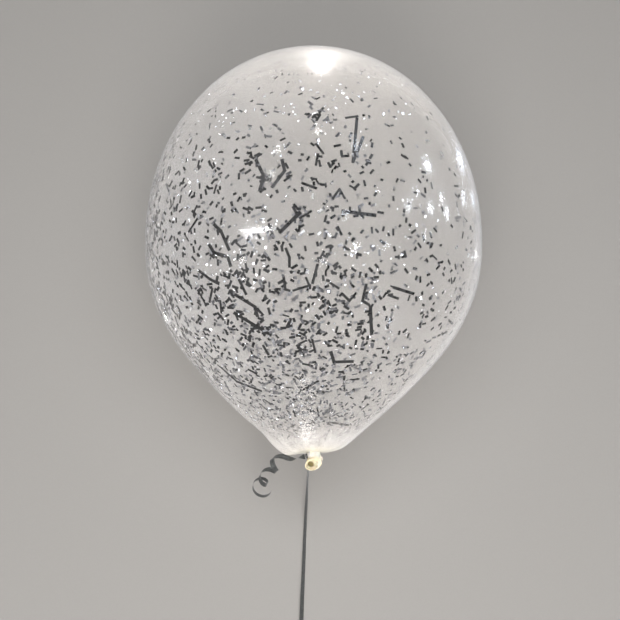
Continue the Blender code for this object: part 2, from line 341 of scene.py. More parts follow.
NECK_POINT = (0.0, 0.0, -NECK_SIDE_LENGTH)
CROWN_POINT = (0.0, 0.0, CROWN_LENGTH)
CLEAR_MILK = 0.085                  # share of light that the wall stops on the upper side, seen straight on
LOWER_MILK_AS_PAINTED_LIGHT = 0.30                   # what it stops more on the side that lies below, at its left: painted light, so that this wall shows white as if lit
LOWER_RIGHT_MILK_AS_PAINTED_LIGHT = 0.72 * LOWER_MILK_AS_PAINTED_LIGHT  # and at its right
NECKWARD_MILK = 0.22                # and more again there towards the neck
NECK_MILK = 1.2
CROWN_MILK = 0.40
RIGHT_SIDE_MILK_AS_PAINTED_LIGHT = 0.10                   # and along the right side: a painted pale band, as if lit from that side
NECK_REACH = (0.004, 0.080)         # distances from the neck, and the crown, over which their milk fades
CROWN_REACH = (0.050, 0.150)
NECK_FALL = 2.2                     # and how steeply it does
CROWN_FALL = 1.5
LOWER_SIDE = (-0.010, 0.110)        # depths under the axis where the lower side's milk starts and is full
LEFT_TO_RIGHT = (0.02, 0.12)        # own X, where the left side's share of it changes to the right's
MIDDLE_TO_NECK = (-0.13, 0.03)      # own Z, where the neckward milk is full and where it ends
NECK_RAYS = (0.6, 1.35)             # the least and the most share of milk in the rays round the neck
SHARE_ABOVE = 0.72                  # share of the neck's milk on the side that lies above
ROUND_THE_AXIS = (-0.012, 0.012)    # own Y, where that changes to the whole of it
FAR_RIGHT = (0.90, 0.985)           # sideways share of the heading, from where that painted pale band sets in
# A grain of about 0.2 mm in the milkiness. Real latex shows none here: it is there for the render,
# where the denoiser drew a false arc across the smooth film under the crown.
GRAIN_SCALE = 5000.0
GRAIN_SHARES = (0.3, 1.7)
LEAST_SQUARE_ON = 0.20              # no glancing view counts as more slanted than this
# The grey is painted shade, which keeps the lit upper wall dark where it is seen straight on; the white is
# the milk's own colour.
FILM_SHADED_GREY = (0.17, 0.17, 0.17)
FILM_WHITE = (0.86, 0.83, 0.80)
LATEX_CREAM = (0.97, 0.93, 0.78)
WHITER_EDGE = (0.30, 0.80)          # from how slanted a view the film is painted white: a painted sheen along its rim
WHITER_CROWN = (0.07, 0.165)        # distances from the crown, up to which it is painted whiter as if lit, and from the neck, up to which the thick latex is whiter
WHITER_NECK = (0.030, 0.080)
WHITER_BELOW = (-0.03, 0.05)        # own Y, from where the lower wall is painted whiter as if lit to where it is fully
CREAM_REACH = (0.004, 0.034)        # distances from the neck between which the cream of thick latex ends
DULLER_BELOW = 0.80
COAT_SIDE = (-0.06, 0.01)           # own Y, where the gloss coat of the side that lies above ends
COAT_WEIGHT = 0.5
dipped_latex = latex_group()
film_material, tree, shader = new_material("clear_latex_film")
skin = node(tree, "Group", node_tree=dipped_latex, Cloud_Size=0.06, Cloudiness=0.4, Gloss=0.11).outputs
own_place = own_place_in(tree)
own = node(tree, "SeparateXYZ", Vector=own_place).outputs
from_neck = vector_math(tree, "DISTANCE", own_place, NECK_POINT)
from_crown = vector_math(tree, "DISTANCE", own_place, CROWN_POINT)
heading = vector_math(tree, "NORMALIZE", vector_math(tree, "MULTIPLY", own_place, (1.0, 1.0, 0.0)))
near_neck = math_node(tree, "POWER", spread(tree, from_neck, *NECK_REACH, 1.0, 0.0), NECK_FALL)
near_crown = math_node(tree, "POWER", spread(tree, from_crown, *CROWN_REACH, 1.0, 0.0), CROWN_FALL)
below = spread(tree, own["Y"], *LOWER_SIDE, 0.0, 1.0)
rays = spread(tree, mottle(tree, heading, 7.0, 3.0, 0.6), 0.3, 0.7, *NECK_RAYS)
thinner_above = spread(tree, own["Y"], *ROUND_THE_AXIS, SHARE_ABOVE, 1.0)
gathered = math_node(tree, "MULTIPLY", rays, NECK_MILK, thinner_above)
# Painted light: the lower wall is made milkier so that it shows white as if lit.
across_below = spread(tree, own["X"], *LEFT_TO_RIGHT, LOWER_MILK_AS_PAINTED_LIGHT, LOWER_RIGHT_MILK_AS_PAINTED_LIGHT)
along_below = spread(tree, own["Z"], *MIDDLE_TO_NECK, NECKWARD_MILK, 0.0)
lower_milk_as_painted_light = math_node(tree, "ADD", across_below, along_below)
to_right = node(tree, "SeparateXYZ", Vector=heading).outputs["X"]
milk = math_node(
    tree,
    "ADD",
    math_node(tree, "MULTIPLY", near_neck, gathered),
    math_node(tree, "MULTIPLY", near_crown, CROWN_MILK),
    math_node(tree, "MULTIPLY", below, lower_milk_as_painted_light),
    spread(tree, to_right, *FAR_RIGHT, 0.0, RIGHT_SIDE_MILK_AS_PAINTED_LIGHT),
    CLEAR_MILK,
)
grain = mottle(tree, place_on_floor_axes(tree), GRAIN_SCALE, 0.0)
grain = spread(tree, grain, 0.32, 0.68, *GRAIN_SHARES)
milk = math_node(tree, "MULTIPLY", milk, skin["Cloud"], grain)
edge = node(tree, "LayerWeight", Blend=0.5).outputs["Facing"]
square_on = math_node(tree, "MAXIMUM", math_node(tree, "SUBTRACT", 1.0, edge), LEAST_SQUARE_ON)
stopped = math_node(tree, "MULTIPLY", math_node(tree, "DIVIDE", milk, square_on), -1.0)
# Painted light and shade in the film's colour: grey where the upper wall is seen straight on, painted white
# at slanted views, by the crown and on the lower wall; by the neck the white is the thick latex's own.
latex_and_painted_whiteness = math_node(
    tree,
    "ADD",
    spread(tree, edge, *WHITER_EDGE, 0.0, 1.0),
    spread(tree, from_crown, *WHITER_CROWN, 1.0, 0.0),
    spread(tree, from_neck, *WHITER_NECK, 1.0, 0.0),
    spread(tree, own["Y"], *WHITER_BELOW, 0.0, 1.0),
)
film_colour_with_painted_light = mixed(tree, math_node(tree, "MINIMUM", latex_and_painted_whiteness, 1.0), FILM_SHADED_GREY, FILM_WHITE)
creamy = spread(tree, from_neck, *CREAM_REACH, 1.0, 0.0)
dull_below = math_node(tree, "MULTIPLY", below, DULLER_BELOW)
give(
    tree,
    shader,
    Base_Color=mixed(tree, creamy, film_colour_with_painted_light, LATEX_CREAM),
    Roughness=math_node(tree, "ADD", skin["Roughness"], dull_below),
    Alpha=math_node(tree, "SUBTRACT", 1.0, math_node(tree, "EXPONENT", stopped)),
    Coat_Weight=spread(tree, own["Y"], *COAT_SIDE, COAT_WEIGHT, 0.0),
    Normal=node(tree, "Bump", Height=skin["Ripple"], Strength=0.02, Distance=0.0003).outputs[0],
)
shader.inputs["IOR"].default_value = 1.9
shader.inputs["Coat Roughness"].default_value = 0.30
film.data.materials.append(film_material)
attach(film, "root")
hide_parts("balloon")

# Latex knot. The neck of the same skin, pulled long, wrapped once round itself and tucked
# through, with the rolled rim of its mouth left standing out. Unblown, so it is thick and cream.
KNOT_CORE = (                       # middle of the neck inside the knot, and its radius
    (0.0, 0.0, -0.1890, 0.0046),
    (0.0, 0.0, -0.1925, 0.0040),
    (-0.0002, 0.0, -0.1955, 0.0034),
    (-0.0007, -0.0003, -0.1985, 0.0034),
    (-0.0015, -0.0014, -0.2005, 0.0034),
    (-0.0022, -0.0028, -0.2018, 0.0036),
)
FOLD = (                            # the gathered latex that bulges over the ribbon, on the upper side
    (0.0000, 0.0000, -0.1905, 0.0036),
    (0.0000, -0.0014, -0.1928, 0.0058),
    (0.0006, -0.0018, -0.1955, 0.0058),
    (0.0012, -0.0016, -0.1980, 0.0048),
)
WRAP_MIDDLE = Vector((0.0012, 0.0002, -0.1984))
WRAP_HALF_WIDTH = 0.0046
WRAP_HALF_DEPTH = 0.0032
WRAP_LIFT = 0.0008
WRAP_THICKNESS = 0.0027
WRAP_START = 0.4
WRAP_STEPS = 40
MOUTH_MIDDLE = Vector((-0.0024, -0.0046, -0.2039))
MOUTH_FACING = Vector((-0.10, -0.83, -0.55)).normalized()
MOUTH_STEPS = 48
RIM_RADIUS = 0.0046
RIM_ROLL = 0.00095
RIM_WAVE = 0.0005
THROAT_RADIUS = 0.0026
THROAT_DEPTH = 0.0044
LIP_OUTSIDE = (                     # radius, and how far along the way that the mouth faces
    (0.6 * THROAT_RADIUS, -0.0062),
    (0.0031, -0.0056),
    (0.0035, -0.0038),
    (0.0042, -0.0019),
    (0.0049, -0.0009),
)
LIP_INSIDE = (
    (0.0042, -0.0007),
    (0.0034, -0.0019),
    (THROAT_RADIUS, -0.0031),
    (0.5 * THROAT_RADIUS, -THROAT_DEPTH),
)
EAR_TURN = math.radians(24.0)        # the way in which the rim is drawn out into an ear
EAR_SPREAD = math.radians(42.0)
EAR_SHARE = 0.85
EAR_DROOP = 0.0022
KNOT_VOXEL = 0.00035
KNOT_SMOOTHING = 4
CREASE_DEPTH = 0.00016
CREASES_ACROSS = 900.0               # how fine the creases are across the neck, and along it
CREASES_ALONG = 160.0


def add_rings(verts, faces, rings):
    """Joins rings of as many points each into a closed skin, with a point in the middle of each end."""
    start = len(verts)
    count = len(rings[0])
    for ring in rings:
        verts.extend(ring)
    verts.append(sum(rings[0], Vector()) / count)
    verts.append(sum(rings[-1], Vector()) / count)
    first_end, last_end = len(verts) - 2, len(verts) - 1
    last = start + (len(rings) - 1) * count
    for i in range(count):
        j = (i + 1) % count
        faces.append((first_end, start + j, start + i))
        faces.append((last_end, last + i, last + j))
        for k in range(len(rings) - 1):
            a, b = start + k * count, start + (k + 1) * count
            faces.append((a + i, a + j, b + j, b + i))


def square_to(direction):
    """Two directions square to the given one and to each other."""
    side = Vector((1.0, 0.0, 0.0)) if abs(direction.x) < 0.9 else Vector((0.0, 1.0, 0.0))
    first = (side - direction * side.dot(direction)).normalized()
    return first, direction.cross(first)


def turned_by(first, second, angle):
    """The direction at an angle from the first one towards the second."""
    return first * math.cos(angle) + second * math.sin(angle)


def way_at(points, i, reach=1):
    """The way that a line of points runs at one of them, taken over so many points to either side."""
    return (points[min(i + reach, len(points) - 1)] - points[max(i - reach, 0)]).normalized()


def tube_rings(middles, radii, steps=24):
    """Round rings along a line of middles."""
    rings = []
    for i, (middle, radius) in enumerate(zip(middles, radii)):
        first, second = square_to(way_at(middles, i))
        around = [math.tau * k / steps for k in range(steps)]
        rings.append([middle + radius * turned_by(first, second, angle) for angle in around])
    return rings


def mouth_ring(radius, along):
    """One ring of the rolled mouth, drawn out into an ear on one side and a little wavy."""
    first, second = square_to(MOUTH_FACING)
    ring = []
    for k in range(MOUTH_STEPS):
        around = math.tau * k / MOUTH_STEPS
        off_ear = (around - EAR_TURN + math.pi) % math.tau - math.pi
        pulled = math.exp(-(off_ear / EAR_SPREAD) ** 2)
        ear = 1.0 + EAR_SHARE * pulled + 0.05 * math.cos(3.0 * around + 0.6)
        flare = min(1.0, radius / RIM_RADIUS) ** 3
        wave = flare * (RIM_WAVE * math.cos(2.0 * around + 1.1) - EAR_DROOP * pulled)
        out = turned_by(first, second, around) * radius * (1.0 + (ear - 1.0) * flare)
        ring.append(MOUTH_MIDDLE + MOUTH_FACING * (along + wave) + out)
    return ring


knot_verts, knot_faces = [], []
for run in (KNOT_CORE, FOLD):
    add_rings(knot_verts, knot_faces, tube_rings([Vector(p[:3]) for p in run], [p[3] for p in run]))
wrap = []
for i in range(WRAP_STEPS + 1):
    around = math.tau * i / WRAP_STEPS + WRAP_START
    aside, across = math.cos(around), math.sin(around)
    wrap.append(WRAP_MIDDLE + Vector((WRAP_HALF_WIDTH * aside, WRAP_HALF_DEPTH * across, WRAP_LIFT * aside)))
add_rings(knot_verts, knot_faces, tube_rings(wrap, [WRAP_THICKNESS] * len(wrap)))
rolled = [math.radians(-120.0 + 24.0 * i) for i in range(11)]
rim = [(RIM_RADIUS + RIM_ROLL * math.cos(around), RIM_ROLL * math.sin(around)) for around in rolled]
add_rings(knot_verts, knot_faces, [mouth_ring(*point) for point in (*LIP_OUTSIDE, *rim, *LIP_INSIDE)])
knot = add_object("latex_knot", knot_verts, knot_faces)
knot_remesh = knot.modifiers.new("one skin", "REMESH")
knot_remesh.mode = "VOXEL"
knot_remesh.voxel_size = KNOT_VOXEL
knot_smooth = knot.modifiers.new("soft folds", "SMOOTH")
knot_smooth.iterations = KNOT_SMOOTHING
shaped = bpy.data.meshes.new_from_object(knot.evaluated_get(bpy.context.evaluated_depsgraph_get()))
knot.modifiers.clear()
knot.data = shaped
for vertex in knot.data.vertices:
    x, y, z = vertex.co
    crease = noise.noise(Vector((x * CREASES_ACROSS, y * CREASES_ACROSS, z * CREASES_ALONG)))
    vertex.co += vertex.normal * (CREASE_DEPTH * crease)
knot.data.transform(lying)
knot.data.shade_smooth()

MOUTH_PAINTED_SHADE = (0.17, 0.14, 0.06)
KNOT_DARK = (0.56, 0.49, 0.33)
KNOT_CREAM = (0.70, 0.65, 0.50)
KNOT_WHITE = (0.66, 0.64, 0.58)
MOUTH_DEPTHS = (0.0026, 0.0046)      # distances from the throat between which its painted shade ends
WHITE_FROM = (-0.1985, -0.1945)      # own Z, where the knot turns to the white of the gathered film
knot_material, tree, shader = new_material("thick_latex_knot")
skin = node(tree, "Group", node_tree=dipped_latex, Cloud_Size=0.004, Cloudiness=0.6, Gloss=0.45).outputs
own_place = own_place_in(tree)
# Painted shade: the throat of the mouth is painted dark olive, where its hole lies in shade.
from_throat = vector_math(tree, "DISTANCE", own_place, MOUTH_MIDDLE - MOUTH_FACING * THROAT_DEPTH)
shade_in_mouth = spread(tree, from_throat, *MOUTH_DEPTHS, 1.0, 0.0)
cream = mixed(tree, spread(tree, skin["Cloud"], 0.8, 1.2, 0.0, 1.0), KNOT_DARK, KNOT_CREAM)
by_film = spread(tree, node(tree, "SeparateXYZ", Vector=own_place).outputs["Z"], *WHITE_FROM, 0.0, 1.0)
give(
    tree,
    shader,
    Base_Color=mixed(tree, shade_in_mouth, mixed(tree, by_film, cream, KNOT_WHITE), MOUTH_PAINTED_SHADE),
    Roughness=skin["Roughness"],
    Normal=node(tree, "Bump", Height=skin["Ripple"], Strength=0.4, Distance=0.0002).outputs[0],
)
shader.inputs["Subsurface Weight"].default_value = 0.5
shader.inputs["Subsurface Radius"].default_value = (1.0, 0.7, 0.35)
shader.inputs["Subsurface Scale"].default_value = 0.002
knot.data.materials.clear()
knot.data.materials.append(knot_material)
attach(knot, "root")
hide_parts("balloon")

# Foil strips. Silver party foil cut into strips 2 mm wide, most only a few millimetres long and
# some far longer and creased. They were put in loose, and they cling to the inside of the film.
STRIP_THICKNESS = 0.00006
STRIP_COUNT = 3100
STRIP_WIDTH = (0.0019, 0.0025)
STRIP_SHORT = (0.0026, 0.0064)
STRIP_LONG = (0.0080, 0.0160)
LONG_SHARE = 0.02
FINE_SHARE = 0.68                   # size of the strips low down and by the crown against the others
NECK_STRIPS = 200                   # fine ones that slid down to the neck
CROWN_STRIPS = 140                  # and ones that cling at the crown, painted pale as if lit
SIDE_STRIPS = 270                   # strips that static holds in rows down the left side
FILM_GAP = 0.0005
STRIP_ROLL = 0.14                   # how far a strip is turned about its own length, and tipped at a fold
STRIP_TIP = 0.12
STRIP_TILT = 0.10                   # how far its first stretch tips off the film
FOLD_OVERLAP = 0.35                 # share of its width by which a strip's stretches overlap at a fold
CROWN_ZONE = (0.06, 0.12)           # heights between which the strips get finer, by the crown and low down
LOW_ZONE = (-0.155, -0.10)
FOLD_CHANCE = 0.04
LONG_FOLD_CHANCE = 0.6
RIGHT_SIDE = (0.20, 0.70)           # cosine and sine of the angle round the axis, from where the foil thins
FAR_WALL = (-0.1, 0.5)
THINNER_RIGHT = 0.60
THINNER_FAR = 0.35
FOIL_BY_HEIGHT = (                  # height above the widest ring, and how thick the foil lies there
    (-0.190, 1.00), (-0.150, 1.00), (-0.125, 0.66), (-0.080, 0.36), (-0.045, 0.29),
    (0.000, 0.19), (0.050, 0.16), (0.090, 0.12), (0.120, 0.09), (0.145, 0.05), (0.179, 0.02),
)
random.seed(11)


def film_spot(height, angle):
    """A place on the film and the direction straight out of it, on the balloon's own axes."""
    radius = film_radius(height)
    step = 0.0005
    slope = (film_radius(height + step) - film_radius(height - step)) / (2.0 * step)
    out = Vector((math.cos(angle), math.sin(angle), -slope)).normalized()
    return Vector((radius * math.cos(angle), radius * math.sin(angle), height)), out


def picture_spot(x, y):
    """The same for the place on the near wall that shows at a pixel, or None beside the film."""
    ahead = look * CAMERA_DISTANCE
    ahead += picture_right * (x - PICTURE_PIXELS / 2) * PIXEL - picture_up * (y - PICTURE_PIXELS / 2) * PIXEL
    start = standing @ camera.location
    ahead = (standing.to_3x3() @ ahead).normalized()
    step = 0.005
    distance = 0.85 * CAMERA_DISTANCE
    while step > 0.0001:
        p = start + ahead * distance
        if -NECK_SIDE_LENGTH < p.z < CROWN_LENGTH and math.hypot(p.x, p.y) < film_radius(p.z):
            distance -= step
            step *= 0.5
        distance += step
        if distance > 1.15 * CAMERA_DISTANCE:
            return None
    return film_spot(p.z, math.atan2(p.y, p.x))


def toward(elevation, azimuth):
    """The direction at an elevation and at an azimuth from +Y to +X, in degrees."""
    up_by, round_by = math.radians(elevation), math.radians(azimuth)
    level = math.cos(up_by)
    return Vector((level * math.sin(round_by), level * math.cos(round_by), math.sin(up_by)))


def inside_film(p, gap):
    """The point itself, or where it would stand out of the film the place just inside it."""
    across = math.hypot(p.x, p.y)
    if p.z > 0.0:
        out = (across / RADIUS) ** CROWN_FULLNESS + (p.z / CROWN_LENGTH) ** CROWN_FULLNESS
        return p * min(1.0, (1.0 - gap / RADIUS) / max(out ** (1.0 / CROWN_FULLNESS), 1e-6))
    room = film_radius(p.z) - 1.5 * gap
    share = min(1.0, max(0.0, room) / max(across, 1e-6))
    return Vector((p.x * share, p.y * share, p.z))


class FoilPile:
    """The points and faces of one piece of foil strips as it grows."""

    def __init__(self):
        self.verts = []
        self.faces = []

    def add(self, start, end, across, width):
        """One flat stretch of strip as a thin closed slab, as wide as width in the direction across."""
        first = len(self.verts)
        ahead = (end - start).normalized()
        side = (across - ahead * across.dot(ahead)).normalized()
        flat = ahead.cross(side)
        for p in (start, end):
            for half, lift in ((-1, -1), (1, -1), (1, 1), (-1, 1)):
                corner = p + side * (half * 0.5 * width) + flat * (lift * 0.5 * STRIP_THICKNESS)
                corner = inside_film(corner, FILM_GAP + 0.5 * (1 - lift) * STRIP_THICKNESS)
                self.verts.append(off_floor(corner, 2.0 * FILM_GAP))
        for face in ((3, 2, 1, 0), (4, 5, 6, 7), (0, 1, 5, 4), (1, 2, 6, 5), (2, 3, 7, 6), (3, 0, 4, 7)):
            self.faces.append(tuple(first + k for k in face))


def lay_strip(pile, spot, out, stretches, width, heading, lift):
    """A strip that clings to the film at a spot. Its stretches are pairs of a length and the turn of the
    fold after it."""
    first, second = square_to(out)
    whole = sum(length for length, fold in stretches)
    start = spot - out * (FILM_GAP + whole * whole / (8.0 * RADIUS))
    start -= turned_by(first, second, heading) * 0.5 * stretches[0][0]
    for length, fold in stretches:
        along = turned_by(first, second, heading)
        along = along * math.cos(lift) - out * math.sin(lift)
        across = turned_by(out.cross(along), out, random.gauss(0.0, STRIP_ROLL))
        pile.add(start, start + along * length, across, width)
        start += along * (length - FOLD_OVERLAP * width) - out * 2.0 * STRIP_THICKNESS
        heading += fold
        lift = random.gauss(0.0, STRIP_TIP)


def between(table, value):
    """The table's second number at a value of its first, straight between its lines."""
    for (low, at_low), (high, at_high) in zip(table, table[1:]):
        if value <= high:
            return at_low + (at_high - at_low) * max(0.0, value - low) / (high - low)
    return table[-1][1]


def how_many(height, angle):
    """How thick the foil lies at a place, from 0 to 1: little at the crown, most low and on the left side."""
    right = eased(math.cos(angle), *RIGHT_SIDE)
    far_wall = eased(math.sin(angle), *FAR_WALL)
    return between(FOIL_BY_HEIGHT, height) * (1.0 - THINNER_RIGHT * right) * (1.0 - THINNER_FAR * far_wall)


piles = {"dark": FoilPile(), "silver": FoilPile(), "bright": FoilPile()}
UPPER_SIDE = (0.02, 0.10)           # heights over the axis where its middle starts and is full
MIDDLE_TO_CROWN = (0.02, 0.09)      # own Z, where that middle ends
MIDDLE_FROM_NECK = (-0.14, -0.09)   # and where it starts
LEFT_SIDE = (0.08, 0.13)
DARK_SHARE = 0.18                   # share of foil painted dark, as painted shade, and how much more there is in the middle and left
DARK_IN_MIDDLE = 0.62
DARK_AT_LEFT = 0.25
NOT_BRIGHT = 0.86                   # share of the foil that isn't painted bright, and how much more in the middle
LESS_BRIGHT_IN_MIDDLE = 0.09


def pick_pile(spot):
    """The foil for a spot, by painted tone: painted dark as shade in the middle of the upper side and more at
    the left, where it would mirror nothing bright, and painted grey and bright elsewhere.
    """
    centre = eased(-spot.y, *UPPER_SIDE) * (1.0 - eased(spot.z, *MIDDLE_TO_CROWN))
    centre *= eased(spot.z, *MIDDLE_FROM_NECK)
    draw = random.random()
    left = eased(-spot.x, *LEFT_SIDE)
    dark = DARK_SHARE + DARK_IN_MIDDLE * centre + DARK_AT_LEFT * left * (1.0 - centre)
    not_bright = NOT_BRIGHT + LESS_BRIGHT_IN_MIDDLE * centre
    return piles["dark" if draw < dark else "silver" if draw < not_bright else "bright"]


def random_spot():
    """A place on the film, drawn so that the foil lies as thick there as how_many says."""
    while True:
        height = random.uniform(-NECK_SIDE_LENGTH + 0.002, CROWN_LENGTH - 0.002)
        angle = random.uniform(0.0, math.tau)
        if random.random() < how_many(height, angle) * film_radius(height) / RADIUS:
            return film_spot(height, angle)


def random_stretches(length, fold_chance):
    """A strip's stretches: one, or two or three with sharp folds between them."""
    if random.random() > fold_chance:
        return [(length, 0.0)]
    share = random.uniform(0.25, 0.7)
    fold = random.choice((-1.0, 1.0)) * random.uniform(0.6, 2.3)
    rest = length * (1.0 - share)
    if random.random() < 0.3:
        return [(length * share, fold), (rest * 0.6, -fold), (rest * 0.4, 0.0)]
    return [(length * share, fold), (rest, 0.0)]


def any_way():
    """A heading drawn from the whole circle."""
    return random.uniform(0.0, math.tau)


def tip(most):
    """A strip's slant off the film, drawn so that it is mostly less than the one given."""
    return abs(random.gauss(0.0, most))


for i in range(STRIP_COUNT):
    spot, out = random_spot()
    is_long = random.random() < LONG_SHARE
    fine = 1.0 - (1.0 - FINE_SHARE) * max(eased(spot.z, *CROWN_ZONE), 1.0 - eased(spot.z, *LOW_ZONE))
    length = fine * random.uniform(*(STRIP_LONG if is_long else STRIP_SHORT))
    pile = pick_pile(spot)
    stretches = random_stretches(length, LONG_FOLD_CHANCE if is_long else FOLD_CHANCE)
    lay_strip(pile, spot, out, stretches, fine * random.uniform(*STRIP_WIDTH), any_way(), tip(STRIP_TILT))

# Knots of strips that static holds together: where the photograph shows them, as pixels of its frame,
# and then at places of their own.
CLUSTER_PIXELS = (
    (212, 165), (298, 213), (311, 107), (322, 114), (340, 270), (322, 296), (331, 305), (250, 156),
    (262, 180), (305, 331), (374, 284), (339, 305), (275, 345), (300, 352),
)
OTHER_CLUSTERS = 6
CLUSTER_STRIPS = (4, 7)
CLUSTER_LENGTHS = (0.003, 0.0075)
CLUSTER_FOLD_CHANCE = 0.15
CLUSTER_SPREAD = 0.0042
CLUSTER_DEPTH = 0.0020
CLUSTER_TIP = 0.5
for pixel in (*CLUSTER_PIXELS, *[None] * OTHER_CLUSTERS):
    spot, out = picture_spot(*pixel) if pixel else random_spot()
    first, second = square_to(out)
    pile = pick_pile(spot)
    for k in range(random.randint(*CLUSTER_STRIPS)):
        beside = first * random.gauss(0.0, CLUSTER_SPREAD) + second * random.gauss(0.0, CLUSTER_SPREAD)
        beside -= out * random.uniform(0.0, CLUSTER_DEPTH)
        stretches = random_stretches(random.uniform(*CLUSTER_LENGTHS), CLUSTER_FOLD_CHANCE)
        width = random.uniform(*STRIP_WIDTH)
        lay_strip(pile, spot + beside, out, stretches, width, any_way(), random.uniform(0.0, CLUSTER_TIP))

# Heights, lengths and widths of the fine strips at the neck and at the crown, and of those at the left side.
NECK_FINE = ((-0.1895, -0.160), (0.0018, 0.0042), (0.0011, 0.0016))
CROWN_FINE = ((0.125, 0.173), (0.0014, 0.0034), (0.0011, 0.0017))
SIDE_HEIGHTS = (-0.125, 0.085)
SIDE_LENGTHS = (0.004, 0.010)
SIDE_FOLD_CHANCE = 0.10
CROWN_TILT = 0.35                   # how far they tip off the film
SIDE_TILT = 0.08
SIDE_SPREAD = 0.30                  # spread of their angle round the axis, and of their heading
SIDE_TURN = 0.5
heights, lengths, widths = NECK_FINE
for i in range(NECK_STRIPS):
    spot, out = film_spot(random.uniform(*heights), random.uniform(math.pi, math.tau))
    pile = pick_pile(spot)
    stretches = [(random.uniform(*lengths), 0.0)]
    lay_strip(pile, spot, out, stretches, random.uniform(*widths), any_way(), tip(STRIP_TILT))

heights, lengths, widths = CROWN_FINE
for i in range(CROWN_STRIPS):
    spot, out = film_spot(random.uniform(*heights), random.uniform(math.pi, math.tau))
    # Painted light: these get the bright and grey foil tones.
    pile = piles["bright" if i % 3 else "silver"]
    stretches = [(random.uniform(*lengths), 0.0)]
    lay_strip(pile, spot, out, stretches, random.uniform(*widths), any_way(), tip(CROWN_TILT))

for i in range(SIDE_STRIPS):
    height = random.uniform(*SIDE_HEIGHTS)
    spot, out = film_spot(height, math.pi + random.gauss(0.0, SIDE_SPREAD))
    first, second = square_to(out)
    down = math.atan2(second.z, first.z)
    # Painted shade: two in three of these get the dark foil tone.
    pile = piles["dark"] if i % 3 else pick_pile(spot)
    stretches = random_stretches(random.uniform(*SIDE_LENGTHS), SIDE_FOLD_CHANCE)
    width = random.uniform(*STRIP_WIDTH)
    lay_strip(pile, spot, out, stretches, width, down + random.gauss(0.0, SIDE_TURN), tip(SIDE_TILT))

# The longest strips on the near wall lie where the photograph shows them: pixels of its frame, fold by fold.
LONG_STRIPS = (
    ((357.6, 117.0), (353.5, 161.0), (363.4, 136.6)), ((346.0, 117.5), (357.6, 115.8)),
    ((316.0, 143.6), (323.3, 153.0)), ((318.0, 154.0), (316.0, 164.5)),
    ((333.0, 198.0), (339.6, 189.0), (344.8, 198.0)), ((343.0, 211.0), (375.4, 215.0)),
    ((256.0, 160.0), (263.6, 176.0), (259.5, 190.0)), ((257.0, 177.0), (270.0, 180.2)),
    ((282.0, 160.0), (284.5, 170.3), (272.3, 186.5)), ((188.2, 231.6), (196.3, 219.0)),
    ((214.0, 224.7), (220.4, 231.0), (228.4, 249.4)),
    ((209.0, 245.3), (213.5, 252.8), (227.3, 256.8), (230.0, 265.4)),
    ((198.6, 271.0), (209.0, 279.0), (215.8, 282.7), (217.0, 277.0)), ((280.0, 232.0), (299.6, 212.6)),
    ((293.0, 207.0), (297.0, 214.0)), ((300.0, 218.0), (311.0, 211.0)),
    ((285.8, 248.8), (289.3, 257.4), (289.3, 266.6)), ((283.5, 276.8), (285.2, 289.6), (289.3, 290.7)),
    ((293.3, 290.7), (308.3, 286.0)), ((309.3, 285.5), (306.0, 278.0)), ((323.8, 251.7), (319.0, 261.5)),
    ((317.4, 265.0), (312.6, 283.0)), ((237.6, 278.0), (245.6, 294.0)),
    ((233.0, 294.0), (254.8, 307.3), (257.0, 316.0)), ((234.0, 314.0), (269.7, 335.5)),
    ((250.0, 332.0), (262.8, 320.5), (258.3, 318.3)), ((197.4, 290.7), (202.0, 298.7), (205.4, 305.6)),
    ((211.8, 289.0), (209.0, 302.0)), ((219.8, 301.0), (221.0, 313.0)), ((338.0, 227.0), (341.6, 234.4)),
    ((394.4, 287.8), (414.0, 294.0)), ((389.0, 295.3), (398.4, 298.7)), ((330.7, 283.2), (338.7, 288.4)),
    ((342.0, 293.6), (349.6, 301.0), (356.0, 293.6)), ((366.3, 285.0), (362.8, 301.0), (368.6, 304.5)),
    ((370.8, 309.0), (372.0, 334.3)), ((331.0, 352.7), (334.1, 362.5), (352.5, 362.0)),
    ((312.3, 340.0), (315.2, 352.7)), ((221.0, 368.4), (236.5, 382.4), (260.3, 391.6)),
    ((248.4, 370.0), (256.0, 374.0)), ((303.0, 364.2), (312.3, 366.3)), ((303.0, 390.2), (318.0, 381.7)),
    ((332.0, 423.1), (348.7, 425.9)),
)
# They all get the dark foil tone, as painted shade.
for route in LONG_STRIPS:
    reach = (Vector(route[0]) - Vector(route[-1])).length
    width = random.uniform(0.0019, 0.0023) + 0.0009 * eased(reach, 14.0, 26.0)
    for start, end in zip(route, route[1:]):
        (start, out), (end, out_at_end) = picture_spot(*start), picture_spot(*end)
        depth = FILM_GAP + (end - start).length_squared / (8.0 * RADIUS)
        start, end = start - out * depth, end - out_at_end * depth
        stub = (end - start).normalized() * 0.4 * width
        piles["dark"].add(start - stub, end + stub, out.cross(end - start), width)

